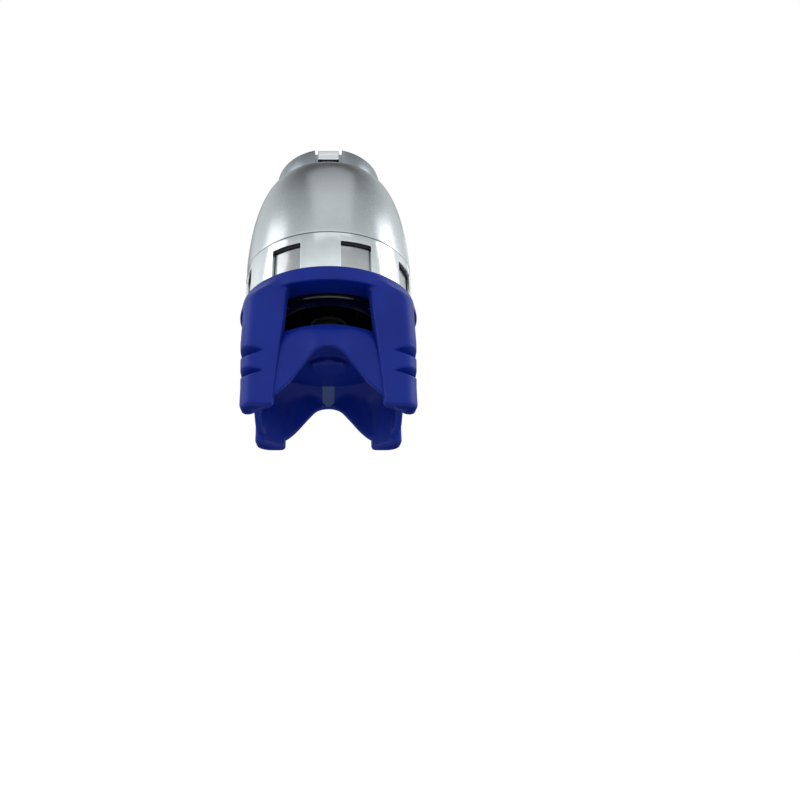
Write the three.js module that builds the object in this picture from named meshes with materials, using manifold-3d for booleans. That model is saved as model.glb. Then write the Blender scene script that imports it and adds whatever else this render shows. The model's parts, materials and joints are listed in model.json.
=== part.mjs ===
// Soft robot gripper: a domed drive unit that hangs from a robot wrist and a moulded silicone
// tool of four fingers, pulled together by one spindle. Millimetres, +Z up, origin at the centre
// of the wrist face, with the fingers hanging towards -Z.
import * as THREE from 'three';
import { mergeVertices } from 'three/addons/utils/BufferGeometryUtils.js';
import Module from 'manifold-3d';

const wasm = await Module();
wasm.setup();

// ---------------------------------------------------------------- driving dimensions
const GAP = 0.3; // clearance between pieces that rest on each other
const VISIBLE_SIDES = 40; // facets round a visible turned piece
const INNER_SIDES = 24; // facets round an inner turned piece
const CUT_REACH = 60; // distance from the axis that is outside every piece

// levels, measured down from the wrist face
const COLLAR_BOTTOM = -12;
const DOME_TOP = COLLAR_BOTTOM - GAP;
const DOME_BOTTOM = -71.1;
const SKIRT_TOP = DOME_BOTTOM - GAP;
const WINDOW_TOP = -76.6;
const RING_TOP = -92.4;
const SKIRT_BOTTOM = -98.2;
const RING_BOTTOM = -101.6;
const NOSE_BOTTOM = -104;
const ROOT_BOTTOM = -110;
const ARCH_TOP = -136.9;
const TOE_TOP = -160;
const TIP = -166;

// radii
const COLLAR_RADIUS = 32.5;
const DOME_TOP_RADIUS = 34.3;
const SKIRT_RADIUS = 49.2;
const DOME_WALL = 3;
const INNER_SKIRT_RADIUS = 47.2;
const INNER_SKIRT_BORE = 45.2;
const SEAL_BORE = 46.3;
const NOSE_RADIUS = 36.9;
const WELL_RADIUS = 28;
const WELL_WALL = 3.2;

// wrist coupling
const NOTCH_HALF_WIDTH = 8;
const NOTCH_FLOOR_Y = -27.5;
const COLLAR_SCREW_CIRCLE = 24;
const CONTACT_Y = 16.5;
const CONTACT_PITCH = 5;
const CONTACT_COUNT = 4;

// skirt windows that take the tool's locking lugs
const WINDOW_COUNT = 8;
const WINDOW_ANGLE = 20;
const WINDOW_START = -72.5; // bearing of the first window's middle, in degrees from +X
const LUG_ANGLE = 17;

// drive
const MOTOR_OFFSET = 24;
const MOTOR_RADIUS = 13;
const MOTOR_LENGTH = 36;
const GEAR_MODULE = 1;
const GEAR_TEETH = 36;
const PINION_TEETH = 12;
const GEAR_TOP = -18.7;
const GEAR_WIDTH = 3.2;
const SCREW_RADIUS = 4;
const TUBE_RADIUS = 8;
const ROD_RADIUS = 2;
const ROD_OFFSET = 15;
const STANDOFF_RADIUS = 3;
const STANDOFF_PLACES = [[17, 29.4], [-17, 29.4], [-17, -29.4], [17, -29.4]];
const GUIDE_PLATE_TOP = -64.4;
const MOTOR_PLATE_BOTTOM = -24.6;
const NUT_BOTTOM = -57.4;
const NOSE_SCREW_CIRCLE = 33.7;

// soft tool
const RING_RADIUS = 51.5;
const CREASE_TOP = 21; // half width between two fingers, at the ring
const CREASE_BOTTOM = 26.6; // and at the fingertips
const FINGER_HALF = 44.6; // half the side of the rounded square that the four fingers fill
const FINGER_CORNER = 9;
const SHOULDER_TOP = -97;
const TOE_ROUNDING = 3;
const GROOVE_LEVELS = [-137.3, -148];
const GROOVE_FLOOR = 54.5; // distance of a groove's floor from the axis, along the diagonal
const ROOF_TOP = -120.5;
const ROOF_BOTTOM = -125;
const ROOF_RADIUS = 24;
const BOSS_RADIUS = 10.7;
const BOSS_BOTTOM = -129.5;

// ---------------------------------------------------------------- materials
const metal = (color, roughness) => new THREE.MeshStandardMaterial({ color, roughness, metalness: 1 });
const plastic = (color, roughness) => new THREE.MeshStandardMaterial({ color, roughness, metalness: 0 });
const MATERIALS = {
  aluminium: metal(0xb9c3c7, 0.32),
  polished: metal(0xd8dde0, 0.12),
  steel: metal(0x9aa0a4, 0.3),
  brass: metal(0xc9a555, 0.3),
  gold: metal(0xe0b84c, 0.25),
  blackGloss: plastic(0x08080a, 0.12),
  blackRubber: plastic(0x111214, 0.75),
  blueSilicone: plastic(0x1a2a86, 0.42),
  board: plastic(0x0f4a2c, 0.5),
};

// ---------------------------------------------------------------- shape helpers
const radians = (degrees) => (degrees * Math.PI) / 180;

// A closed, outward-facing solid from a three.js geometry.
function solid(geometry) {
  const bare = geometry.index ? geometry.clone() : geometry;
  bare.deleteAttribute('normal');
  bare.deleteAttribute('uv');
  const merged = mergeVertices(bare, 1e-4);
  const vertProperties = new Float32Array(merged.attributes.position.array);
  const kept = [];
  for (let i = 0; i < merged.index.count; i += 3) {
    const [a, b, c] = [0, 1, 2].map((k) => merged.index.getX(i + k));
    if (a !== b && b !== c && c !== a) kept.push(a, b, c);
  }
  if (enclosedVolume(vertProperties, kept) < 0) kept.reverse();
  const triVerts = new Uint32Array(kept);
  return new wasm.Manifold(new wasm.Mesh({ numProp: 3, vertProperties, triVerts }));
}

function enclosedVolume(places, triangles) {
  const corner = (i) => new THREE.Vector3().fromArray(places, 3 * i);
  let total = 0;
  for (let i = 0; i < triangles.length; i += 3) {
    const [a, b, c] = [triangles[i], triangles[i + 1], triangles[i + 2]].map(corner);
    total += a.dot(b.cross(c)) / 6;
  }
  return total;
}

// A piece turned about Z from a closed outline of [radius, height] points.
function turned(outline, sides = INNER_SIDES) {
  const points = outline.map(([r, z]) => new THREE.Vector2(r, z));
  const closesOnAxis = outline[0][0] === 0 && outline[outline.length - 1][0] === 0;
  if (!closesOnAxis) points.push(points[0].clone());
  return solid(new THREE.LatheGeometry(points, sides).rotateX(Math.PI / 2));
}

const disc = (radius, bottom, top, sides) =>
  turned([[0, bottom], [radius, bottom], [radius, top], [0, top]], sides);

const tube = (bore, radius, bottom, top, sides) =>
  turned([[bore, bottom], [radius, bottom], [radius, top], [bore, top]], sides);

// A box between two corners.
function block(low, high) {
  const size = high.map((value, i) => value - low[i]);
  const middle = high.map((value, i) => (value + low[i]) / 2);
  return solid(new THREE.BoxGeometry(...size).translate(...middle));
}

// An outline of [x, z] points drawn out along Y, from y0 to y1.
function slab(outline, y0, y1) {
  const shape = new THREE.Shape(outline.map(([x, z]) => new THREE.Vector2(x, z)));
  const geometry = new THREE.ExtrudeGeometry(shape, { depth: y1 - y0, bevelEnabled: false });
  return solid(geometry.rotateX(Math.PI / 2).translate(0, y1, 0));
}

// An outline of [x, y] points drawn out along Z, from bottom to top.
function plate(outline, bottom, top) {
  const shape = new THREE.Shape(outline.map(([x, y]) => new THREE.Vector2(x, y)));
  const geometry = new THREE.ExtrudeGeometry(shape, { depth: top - bottom, bevelEnabled: false });
  return solid(geometry.translate(0, 0, bottom));
}

// A wedge of the given angle about Z, its middle at the given bearing.
function wedge(bearing, angle, radius, bottom, top) {
  const edge = (side) => {
    const turn = radians(bearing + (side * angle) / 2);
    return [radius * Math.cos(turn), radius * Math.sin(turn)];
  };
  return plate([[0, 0], edge(-1), edge(1)], bottom, top);
}

const moved = (piece, x, y, z = 0) => piece.translate([x, y, z]);
const turnedBy = (piece, degrees) => piece.rotate([0, 0, degrees]);
const without = (piece, cutters) => cutters.reduce((rest, cutter) => rest.subtract(cutter), piece);

const gripper = new THREE.Group();

// Adds a solid to the gripper as a mesh with its own name and material.
function add(name, piece, material) {
  const { vertProperties, triVerts } = piece.getMesh();
  const geometry = new THREE.BufferGeometry();
  geometry.setAttribute('position', new THREE.BufferAttribute(vertProperties, 3));
  geometry.setIndex(new THREE.BufferAttribute(triVerts, 1));
  geometry.computeVertexNormals();
  const mesh = new THREE.Mesh(geometry, MATERIALS[material]);
  mesh.name = name;
  gripper.add(mesh);
}

const quarterTurns = [0, 90, 180, 270];

// ---------------------------------------------------------------- wrist coupling
function couplingCollar() {
  const body = turned([
    [0, COLLAR_BOTTOM], [COLLAR_RADIUS - 0.4, COLLAR_BOTTOM], [COLLAR_RADIUS, COLLAR_BOTTOM + 0.4],
    [COLLAR_RADIUS, -0.8], [COLLAR_RADIUS - 0.8, 0], [0, 0],
  ], VISIBLE_SIDES);
  const notch = block(
    [-NOTCH_HALF_WIDTH, -COLLAR_RADIUS - 1, COLLAR_BOTTOM - 1],
    [NOTCH_HALF_WIDTH, NOTCH_FLOOR_Y, 1],
  );
  const contactPocket = block([-11.5, CONTACT_Y - 4.3, -6], [11.5, CONTACT_Y + 4.3, 1]);
  const bearingPocket = disc(11.2, COLLAR_BOTTOM - 1, -8.2);
  const screwHoles = quarterTurns.flatMap((turn) => [
    turnedBy(moved(disc(2.3, COLLAR_BOTTOM - 1, 1, 16), COLLAR_SCREW_CIRCLE, 0), turn + 45),
    turnedBy(moved(disc(4.2, -4.4, 1, 20), COLLAR_SCREW_CIRCLE, 0), turn + 45),
  ]);
  return without(body, [notch, contactPocket, bearingPocket, ...screwHoles]);
}

function collarScrew(turn) {
  const outline = [
    [0, -16], [2, -16], [2, -4.1], [3.9, -4.1], [3.9, -0.8], [3.5, -0.4],
    [2, -0.4], [2, -2.4], [0, -2.4],
  ];
  return turnedBy(moved(turned(outline, 16), COLLAR_SCREW_CIRCLE, 0), turn + 45);
}

const contactX = (index) => (index - (CONTACT_COUNT - 1) / 2) * CONTACT_PITCH;

function contactBlock() {
  const body = block([-11.2, CONTACT_Y - 4, -5.7], [11.2, CONTACT_Y + 4, -0.4]);
  const hole = () => disc(1.5, -4, 1, 16);
  const holes = Array.from({ length: CONTACT_COUNT }, (_, i) => moved(hole(), contactX(i), CONTACT_Y));
  return without(body, holes);
}

function contactPin(index) {
  const pin = turned([[0, -3.7], [1.2, -3.7], [1.2, -0.6], [0.7, -0.1], [0, -0.1]], 12);
  return moved(pin, contactX(index), CONTACT_Y);
}

function buildCoupling() {
  add('coupling_collar', couplingCollar(), 'aluminium');
  add('latch_catch', block([-6.2, -31.4, -7.2], [6.2, NOTCH_FLOOR_Y - GAP, -0.6]), 'polished');
  add('contact_block', contactBlock(), 'blackGloss');
  for (let i = 0; i < CONTACT_COUNT; i += 1) add(`contact_pin_${i + 1}`, contactPin(i), 'gold');
  quarterTurns.forEach((turn, i) => add(`collar_screw_${i + 1}`, collarScrew(turn), 'steel'));
  add('collar_gasket', tube(28.6, 30, DOME_TOP - 1.2, DOME_TOP + 0.1), 'blackRubber');
}

// ---------------------------------------------------------------- housing
// The dome's outer radius at a level, from the skirt's edge up to its shoulder.
function domeRadius(level) {
  const rise = (level - DOME_BOTTOM) / (DOME_TOP - DOME_BOTTOM);
  const bulge = Math.pow(Math.max(0, 1 - Math.pow(rise, 1.92)), 1 / 1.66);
  return DOME_TOP_RADIUS + (SKIRT_RADIUS - DOME_TOP_RADIUS) * bulge;
}

function domeHousing() {
  const ceiling = DOME_TOP - 4;
  // points of the dome's wall up to a level, closer together towards the shoulder
  const wall = (steps, top, thickness) =>
    Array.from({ length: steps + 1 }, (_, i) => Math.sin((Math.PI / 2) * (i / steps)))
      .map((share) => DOME_BOTTOM + (top - DOME_BOTTOM) * share)
      .map((level) => [domeRadius(level) - thickness, level]);
  const outer = wall(10, DOME_TOP, 0);
  const inner = wall(5, ceiling, DOME_WALL).reverse();
  const shell = turned([...outer, [13, DOME_TOP], [13, ceiling], ...inner], VISIBLE_SIDES);
  const gasketGroove = tube(28.3, 30.3, DOME_TOP - 1.5, DOME_TOP + 1);
  const screwHoles = quarterTurns.map((turn) =>
    turnedBy(moved(disc(2.3, DOME_TOP - 6, DOME_TOP + 1, 16), COLLAR_SCREW_CIRCLE, 0), turn + 45));
  return without(shell, [gasketGroove, ...screwHoles]);
}

const windowBearing = (index) => WINDOW_START + (index * 360) / WINDOW_COUNT;
const windowBearings = Array.from({ length: WINDOW_COUNT }, (_, i) => windowBearing(i));

function skirtCrown() {
  const bore = INNER_SKIRT_RADIUS + GAP;
  const sleeve = turned([
    [bore, SKIRT_BOTTOM], [SKIRT_RADIUS, SKIRT_BOTTOM], [SKIRT_RADIUS, SKIRT_TOP - 0.3],
    [SKIRT_RADIUS - 0.3, SKIRT_TOP], [bore, SKIRT_TOP],
  ], 48);
  const windows = windowBearings.map((bearing) =>
    wedge(bearing, WINDOW_ANGLE, CUT_REACH, SKIRT_BOTTOM - 1, WINDOW_TOP));
  return without(sleeve, windows);
}

function innerSkirt() {
  const ledgeBottom = -94.5;
  const ledgeTop = -91.5;
  const ledgeBore = WELL_RADIUS + WELL_WALL + GAP;
  const grooveFloor = SEAL_BORE - 0.2;
  const grooveBottom = WINDOW_TOP - 1.8;
  const grooveTop = WINDOW_TOP + 0.2;
  const body = turned([
    [INNER_SKIRT_BORE, SKIRT_BOTTOM], [INNER_SKIRT_RADIUS, SKIRT_BOTTOM],
    [INNER_SKIRT_RADIUS, grooveBottom], [grooveFloor, grooveBottom],
    [grooveFloor, grooveTop], [INNER_SKIRT_RADIUS, grooveTop],
    [INNER_SKIRT_RADIUS, SKIRT_TOP], [INNER_SKIRT_BORE, SKIRT_TOP],
    [INNER_SKIRT_BORE, ledgeTop], [ledgeBore, ledgeTop],
    [ledgeBore, ledgeBottom], [INNER_SKIRT_BORE, ledgeBottom],
  ], VISIBLE_SIDES);
  const screwHoles = quarterTurns.map((turn) =>
    turnedBy(moved(disc(1.6, ledgeBottom - 1, ledgeTop + 1, 12), NOSE_SCREW_CIRCLE, 0), turn + 45));
  return without(body, screwHoles);
}

// Black cup in the underside: it closes the drive off, and the tool's hub rises into its well.
function noseCup() {
  const wall = WELL_RADIUS + WELL_WALL;
  const ceiling = -71.7;
  const body = turned([
    [WELL_RADIUS + 1.2, NOSE_BOTTOM], [NOSE_RADIUS - 0.9, NOSE_BOTTOM + 0.5],
    [NOSE_RADIUS, NOSE_BOTTOM + 1.3], [NOSE_RADIUS, -94.8], [wall, -94.8], [wall, ceiling + 3],
    [12, ceiling + 3], [12, ceiling], [WELL_RADIUS, ceiling],
    [WELL_RADIUS, NOSE_BOTTOM + 1.2], [WELL_RADIUS + 0.4, NOSE_BOTTOM + 0.4],
  ], VISIBLE_SIDES);
  const screwHoles = quarterTurns.flatMap((turn) => [
    turnedBy(moved(disc(1.6, NOSE_BOTTOM - 1, -94, 12), NOSE_SCREW_CIRCLE, 0), turn + 45),
    turnedBy(moved(disc(2.7, NOSE_BOTTOM - 1, -101, 16), NOSE_SCREW_CIRCLE, 0), turn + 45),
  ]);
  return without(body, screwHoles);
}

function noseScrew(turn) {
  const outline = [
    [0, -102.2], [1.2, -102.2], [1.2, -103.2], [2, -103.2], [2.4, -102.9], [2.4, -101.3],
    [1.3, -101.3], [1.3, -91.7], [0, -91.7],
  ];
  return turnedBy(moved(turned(outline, 16), NOSE_SCREW_CIRCLE, 0), turn + 45);
}

function buildHousing() {
  const seal = tube(SEAL_BORE, INNER_SKIRT_RADIUS, WINDOW_TOP - 1.5, WINDOW_TOP - 0.1, VISIBLE_SIDES);
  add('dome_housing', domeHousing(), 'aluminium');
  add('skirt_crown', skirtCrown(), 'polished');
  add('inner_skirt', innerSkirt(), 'polished');
  add('window_seal', seal, 'blackRubber');
  add('nose_cup', noseCup(), 'blackGloss');
  quarterTurns.forEach((turn, i) => add(`nose_screw_${i + 1}`, noseScrew(turn), 'steel'));
  add('wiper_seal', tube(TUBE_RADIUS + 0.2, 11.7, -71.4, -69.2), 'blackRubber');
}

// ---------------------------------------------------------------- drive
// A spur gear's outline, with straight-sided teeth that clear their mates by a fixed backlash.
function gearOutline(teeth) {
  const pitchRadius = (teeth * GEAR_MODULE) / 2;
  const levels = [[pitchRadius - 1.15, 0.9], [pitchRadius + 0.75, 0.33]];
  const points = [];
  for (let tooth = 0; tooth < teeth; tooth += 1) {
    const middle = (2 * Math.PI * tooth) / teeth;
    const rising = levels.map(([radius, half]) => [radius, middle - half / radius]);
    const falling = levels.map(([radius, half]) => [radius, middle + half / radius]).reverse();
    for (const [radius, angle] of [...rising, ...falling]) {
      points.push([radius * Math.cos(angle), radius * Math.sin(angle)]);
    }
  }
  return points;
}

function gear(teeth, bore) {
  const blank = plate(gearOutline(teeth), GEAR_TOP - GEAR_WIDTH, GEAR_TOP);
  return blank.subtract(disc(bore, GEAR_TOP - GEAR_WIDTH - 1, GEAR_TOP + 1, 16));
}

function motorPlate() {
  const body = disc(37.4, MOTOR_PLATE_BOTTOM, MOTOR_PLATE_BOTTOM + 2);
  const nutClearance = disc(10.3, MOTOR_PLATE_BOTTOM - 1, MOTOR_PLATE_BOTTOM + 3);
  const shaftHole = moved(disc(3.2, MOTOR_PLATE_BOTTOM - 1, MOTOR_PLATE_BOTTOM + 3, 16), MOTOR_OFFSET, 0);
  return without(body, [nutClearance, shaftHole]);
}

function motorCan() {
  const top = MOTOR_PLATE_BOTTOM - GAP;
  return moved(turned([
    [0, top - MOTOR_LENGTH], [4, top - MOTOR_LENGTH], [4, top - MOTOR_LENGTH + 1],
    [MOTOR_RADIUS - 1, top - MOTOR_LENGTH + 1], [MOTOR_RADIUS, top - MOTOR_LENGTH + 2],
    [MOTOR_RADIUS, top], [3, top], [3, top - 6], [0, top - 6],
  ]), MOTOR_OFFSET, 0);
}

// Carriage nut, with an ear either side that runs on a guide rod and keeps the spindle from turning.
function spindleNut() {
  const barrel = disc(9.5, NUT_BOTTOM, NUT_BOTTOM + 7);
  const ears = block([-4, -19, NUT_BOTTOM], [4, 19, NUT_BOTTOM + 4]);
  const bore = disc(SCREW_RADIUS + 0.07, NUT_BOTTOM - 1, NUT_BOTTOM + 8);
  const rodHoles = [-1, 1].map((side) =>
    moved(disc(ROD_RADIUS + 0.1, NUT_BOTTOM - 1, NUT_BOTTOM + 5, 24), 0, side * ROD_OFFSET));
  return without(barrel.add(ears), [bore, ...rodHoles]);
}

function spindleTube() {
  const bottom = -99.9;
  const top = NUT_BOTTOM - GAP;
  return turned([
    [0, bottom], [TUBE_RADIUS, bottom], [TUBE_RADIUS, top], [4.8, top], [4.8, bottom + 4], [0, bottom + 4],
  ]);
}

// Grooved head that the tool's hub clips onto.
function spindleHead() {
  return turned([
    [0, -107], [7, -107], [8, -106], [8, -104.2], [6.6, -103.6], [6.6, -102.6], [10.5, -101.8],
    [10.5, -100.2], [0, -100.2],
  ]);
}

function buildDrive() {
  const railBottom = GUIDE_PLATE_TOP + GAP;
  const railTop = MOTOR_PLATE_BOTTOM - GAP;
  add('guide_plate', tube(11.3, 44.8, GUIDE_PLATE_TOP - 4, GUIDE_PLATE_TOP), 'aluminium');
  const bushBore = TUBE_RADIUS + 0.08;
  add('guide_bush', turned([
    [bushBore, -68.3], [11, -68.3], [11, railBottom], [12.4, railBottom], [12.4, -62], [11, -61.6],
    [bushBore, -61.6],
  ]), 'brass');
  const guideRod = (side) => moved(disc(ROD_RADIUS, railBottom, railTop, 24), 0, side * ROD_OFFSET);
  [-1, 1].forEach((side, i) => add(`guide_rod_${i + 1}`, guideRod(side), 'polished'));
  STANDOFF_PLACES.forEach(([x, y], i) =>
    add(`standoff_${i + 1}`, moved(disc(STANDOFF_RADIUS, railBottom, railTop, 6), x, y), 'steel'));
  add('motor_plate', motorPlate(), 'aluminium');
  add('motor_can', motorCan(), 'steel');
  add('motor_shaft', moved(disc(2.4, railTop - 5, GEAR_TOP + 1.2, 16), MOTOR_OFFSET, 0), 'polished');
  const pinion = turnedBy(gear(PINION_TEETH, 2.7), 180 / PINION_TEETH);
  add('pinion', moved(pinion, MOTOR_OFFSET, 0), 'brass');
  add('drive_gear', gear(GEAR_TEETH, SCREW_RADIUS + GAP), 'steel');
  add('lead_screw', disc(SCREW_RADIUS, -67, -8.6), 'polished');
  add('screw_bearing', tube(SCREW_RADIUS + GAP, 10.9, -13.2, -8.5), 'steel');
  add('spindle_nut', spindleNut(), 'brass');
  add('spindle_tube', spindleTube(), 'blackGloss');
  add('spindle_head', spindleHead(), 'blackGloss');
  add('control_board', block([-31.6, -18, -60], [-30, 18, -26]), 'board');
  add('motor_driver', block([-29.7, -5, -48], [-28, 5, -38]), 'blackGloss');
}

// ---------------------------------------------------------------- soft tool
// Half the width between two fingers at a level: it widens from the ring to the toes.
function creaseAt(level) {
  const share = (RING_BOTTOM - level) / (RING_BOTTOM - TOE_TOP);
  return CREASE_TOP + (CREASE_BOTTOM - CREASE_TOP) * Math.min(1, Math.max(0, share));
}

// Everything with x and y beyond the creases: the corner that holds the +X +Y finger.
function fingerCorner() {
  const upper = CREASE_TOP + GAP / 2;
  const lower = CREASE_BOTTOM + GAP / 2;
  const outline = [
    [upper, SHOULDER_TOP], [CUT_REACH, SHOULDER_TOP], [CUT_REACH, TIP - 1], [lower, TIP - 1],
    [lower, TOE_TOP], [upper, RING_BOTTOM],
  ];
  const alongY = slab(outline, 0, CUT_REACH);
  const alongX = turnedBy(alongY, 90).mirror([1, 0, 0]);
  return alongY.intersect(alongX);
}

// The +X +Y quarter of the rounded square that the fingers fill, between two levels.
function fingerQuarter(bottom, top) {
  const middle = FINGER_HALF - FINGER_CORNER;
  const along = (share) => middle + FINGER_CORNER * share;
  const arc = [0, 22.5, 45, 67.5, 90].map(radians).map((turn) => [
    along(Math.cos(turn)), along(Math.sin(turn)),
  ]);
  const shoulder = turned([
    [0, TIP - 1], [CUT_REACH, TIP - 1], [CUT_REACH, SHOULDER_TOP + RING_RADIUS - CUT_REACH],
    [RING_RADIUS, SHOULDER_TOP], [0, SHOULDER_TOP],
  ], VISIBLE_SIDES);
  const square = plate([[0, 0], [FINGER_HALF, 0], ...arc, [0, FINGER_HALF]], bottom, top);
  return square.intersect(shoulder).intersect(fingerCorner());
}

function toolRing() {
  const bandBore = NOSE_RADIUS + 0.4;
  const recess = SKIRT_RADIUS + GAP;
  const seat = SKIRT_BOTTOM - GAP;
  const band = turned([
    [bandBore, RING_BOTTOM], [51.2, RING_BOTTOM], [51.7, RING_BOTTOM + 0.5], [50.8, -94.6],
    [50.4, RING_TOP - 0.5], [49.9, RING_TOP], [recess, RING_TOP], [recess, seat], [bandBore, seat],
  ], VISIBLE_SIDES);
  const lugBore = INNER_SKIRT_RADIUS + GAP;
  const lugSpace = tube(lugBore, recess + GAP, SKIRT_BOTTOM - 0.6, RING_TOP - 0.8, VISIBLE_SIDES);
  const lugs = windowBearings.map((bearing) =>
    lugSpace.intersect(wedge(bearing, LUG_ANGLE, CUT_REACH, SKIRT_BOTTOM - 1, RING_TOP)));
  const bore = disc(recess + 0.1, RING_BOTTOM - 1, SHOULDER_TOP + 1, VISIBLE_SIDES);
  const shoulders = quarterTurns.map((turn) =>
    turnedBy(fingerQuarter(RING_BOTTOM, SHOULDER_TOP).subtract(bore), turn));
  return [...lugs, ...shoulders].reduce((ring, piece) => ring.add(piece), band);
}

function fingerRoot() {
  const bore = disc(39, ROOT_BOTTOM - 1, RING_BOTTOM, VISIBLE_SIDES);
  return fingerQuarter(ROOT_BOTTOM, RING_BOTTOM - GAP).subtract(bore);
}

// Bell-shaped space inside the tool, below and around the cup's roof.
const bell = () =>
  turned([
    [0, TIP - 1], [46.8, TIP - 1], [46.4, -150], [45.4, -139], [43, -131], [38.6, ROOF_BOTTOM],
    [38.2, ROOF_TOP - 1], [41, ROOF_TOP + 2], [41, ROOT_BOTTOM + 1], [0, ROOT_BOTTOM + 1],
  ], VISIBLE_SIDES);

// V groove cut straight across a finger's outer corner.
function gripGroove(level) {
  const mouth = GROOVE_FLOOR + 7;
  const rise = 3;
  const outline = [[GROOVE_FLOOR, level], [mouth, level + rise], [mouth, level - rise]];
  return turnedBy(slab(outline, -CREASE_TOP, CREASE_TOP), 45);
}

// One finger: a thick corner post with two grooves across its back and rounded toes.
function finger() {
  const side = FINGER_HALF;
  const corner = 0.3 * TOE_ROUNDING;
  const toeOutline = [
    [0, 0], [0, TIP], [side - TOE_ROUNDING, TIP], [side - corner, TIP + corner],
    [side, TIP + TOE_ROUNDING], [side, 0],
  ];
  const alongY = slab(toeOutline, 0, CUT_REACH);
  const alongX = turnedBy(alongY, 90).mirror([1, 0, 0]);
  const post = fingerQuarter(TIP, ROOT_BOTTOM - GAP).intersect(alongY).intersect(alongX);
  return without(post, [bell(), ...GROOVE_LEVELS.map(gripGroove)]);
}

// How far the arch's edge lies below its top, at a distance from its middle.
function archDrop(across) {
  const slope = radians(51);
  const rounding = 12;
  const reach = rounding * Math.sin(slope);
  if (across < reach) return rounding - Math.sqrt(rounding * rounding - across * across);
  const flare = 0.03 * Math.max(0, across - 17) ** 2;
  return rounding * (1 - Math.cos(slope)) + (across - reach) * Math.tan(slope) - flare;
}

// The inverted V cut out between two fingers, rounded at its top, as [x, z] points.
function archOutline() {
  const half = [0, 3.2, 6.4, 9.4, 17, 22, 27, 31].map((across) => [across, ARCH_TOP - archDrop(across)]);
  const [edge] = half[half.length - 1];
  const mirrored = half.slice(1).reverse().map(([x, z]) => [-x, z]);
  return [[-edge, TIP - 5], ...mirrored, ...half, [edge, TIP - 5]];
}

// Thin wall between two fingers, leaning in to the cup's roof, here the one on the -Y side.
function web() {
  const wall = turned([
    [50.6, TOE_TOP], [50.3, -148], [49.4, -138.5], [47.2, -132], [41.3, -121.6], [39.8, -119.8],
    [38, -119.6], [37, -120.6], [38.6, ROOF_BOTTOM], [43, -131], [45.4, -139], [46.4, -150],
    [46.8, TOE_TOP],
  ], VISIBLE_SIDES);
  const top = ROOT_BOTTOM - 5;
  const upper = creaseAt(top) - GAP / 2;
  const lower = creaseAt(TOE_TOP) - GAP / 2;
  const outline = [[upper, top], [lower, TOE_TOP], [-lower, TOE_TOP], [-upper, top]];
  const between = slab(outline, -CUT_REACH, -CREASE_TOP);
  return wall.intersect(between).subtract(slab(archOutline(), -CUT_REACH, -CREASE_TOP));
}

function hub() {
  return turned([
    [0, BOSS_BOTTOM], [BOSS_RADIUS - 1.5, BOSS_BOTTOM], [BOSS_RADIUS, BOSS_BOTTOM + 1.5],
    [BOSS_RADIUS, ROOF_BOTTOM], [ROOF_RADIUS, ROOF_BOTTOM], [ROOF_RADIUS, ROOF_TOP],
    [14, ROOF_TOP], [13, ROOF_TOP + 1], [13, -108.4], [12.5, -108], [9.4, -108], [9.4, -118.3],
    [0, -118.3],
  ], VISIBLE_SIDES);
}

function hubInsert() {
  return turned([
    [0, -118], [9.1, -118], [9.1, -107.9], [8.3, -107.4], [8.3, -107.3], [0, -107.3],
  ]);
}

function cupMembrane() {
  return tube(ROOF_RADIUS + GAP, 36.6, ROOF_BOTTOM + GAP, ROOF_TOP - GAP, VISIBLE_SIDES);
}

function buildTool() {
  const fingerNames = ['rear_right', 'rear_left', 'front_left', 'front_right'];
  const webNames = ['front', 'right', 'rear', 'left'];
  add('tool_ring', toolRing(), 'blueSilicone');
  quarterTurns.forEach((turn, i) => {
    add(`finger_root_${fingerNames[i]}`, turnedBy(fingerRoot(), turn), 'blueSilicone');
    add(`finger_${fingerNames[i]}`, turnedBy(finger(), turn), 'blueSilicone');
    add(`web_${webNames[i]}`, turnedBy(web(), turn), 'blueSilicone');
  });
  add('cup_membrane', cupMembrane(), 'blueSilicone');
  add('hub', hub(), 'blueSilicone');
  add('hub_insert', hubInsert(), 'blackGloss');
}

buildCoupling();
buildHousing();
buildDrive();
buildTool();

export default gripper;
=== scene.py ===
"""A soft robot gripper: satin domed drive unit, polished windowed skirt and a deep blue moulded tool."""

import json
import math

import bmesh
import bpy
import numpy as np
from mathutils import Matrix, Vector


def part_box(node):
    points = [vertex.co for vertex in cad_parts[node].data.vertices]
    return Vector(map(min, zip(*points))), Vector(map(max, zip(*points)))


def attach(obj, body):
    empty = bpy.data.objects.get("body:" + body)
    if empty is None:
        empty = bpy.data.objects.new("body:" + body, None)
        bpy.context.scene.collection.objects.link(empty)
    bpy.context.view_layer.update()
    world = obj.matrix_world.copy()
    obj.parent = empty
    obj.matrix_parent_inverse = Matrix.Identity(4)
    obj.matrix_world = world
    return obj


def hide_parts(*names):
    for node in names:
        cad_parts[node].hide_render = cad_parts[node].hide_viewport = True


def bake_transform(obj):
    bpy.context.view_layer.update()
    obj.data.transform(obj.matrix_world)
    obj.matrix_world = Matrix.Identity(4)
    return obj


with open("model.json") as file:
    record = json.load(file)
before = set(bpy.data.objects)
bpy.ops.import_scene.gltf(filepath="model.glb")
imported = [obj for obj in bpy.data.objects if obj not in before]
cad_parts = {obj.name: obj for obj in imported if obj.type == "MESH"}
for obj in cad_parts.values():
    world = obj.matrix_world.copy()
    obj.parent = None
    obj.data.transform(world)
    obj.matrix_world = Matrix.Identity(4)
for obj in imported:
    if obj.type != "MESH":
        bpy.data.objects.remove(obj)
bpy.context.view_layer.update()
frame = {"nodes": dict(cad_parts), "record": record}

MM = 0.001
QUARTERS = (0, 90, 180, 270)
# the name and bearing in degrees of each side of the tool
SIDES = {"front": -90, "right": 0, "rear": 90, "left": 180}


def low(node, axis):
    """Lowest coordinate of a CAD node, in millimetres."""
    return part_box(node)[0][axis] / MM


def high(node, axis):
    """Highest coordinate of a CAD node, in millimetres."""
    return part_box(node)[1][axis] / MM


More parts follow.
